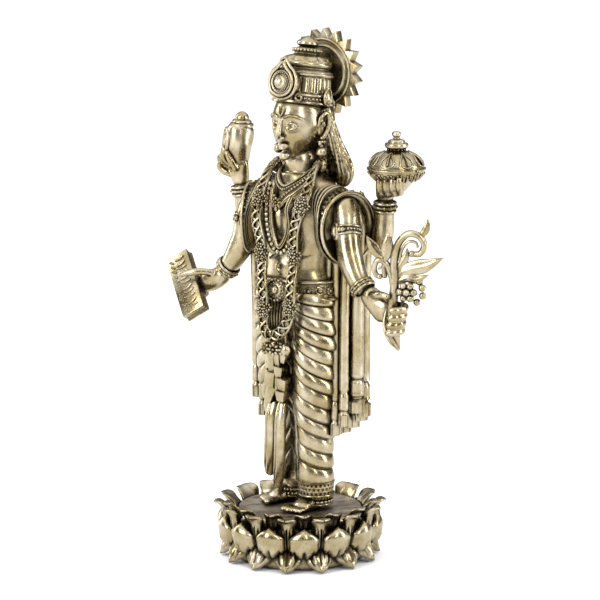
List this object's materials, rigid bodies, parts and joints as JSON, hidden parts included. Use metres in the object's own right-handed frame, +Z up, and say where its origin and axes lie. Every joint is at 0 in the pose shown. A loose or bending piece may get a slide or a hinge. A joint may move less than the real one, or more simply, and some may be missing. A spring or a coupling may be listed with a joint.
{
  "type": "deity statue",
  "caption": "Standing crowned deity with raised and lowered arms holding a book, conch, herbs and lidded pot, a toothed halo behind the head, cast in one piece with a round lotus plinth.",
  "frame": {"origin": "centre of the plinth's flat underside", "axes": "+Z up through the figure, -Y the way the figure looks, +X towards its left hand"},
  "size_m": [0.0981, 0.0496, 0.152],
  "materials": {
    "brass": "polished, with dark antique patina left in the recesses"
  },
  "bodies": {
    "root": {"dhanvantari_idol": "brass"}
  },
  "joints": []
}
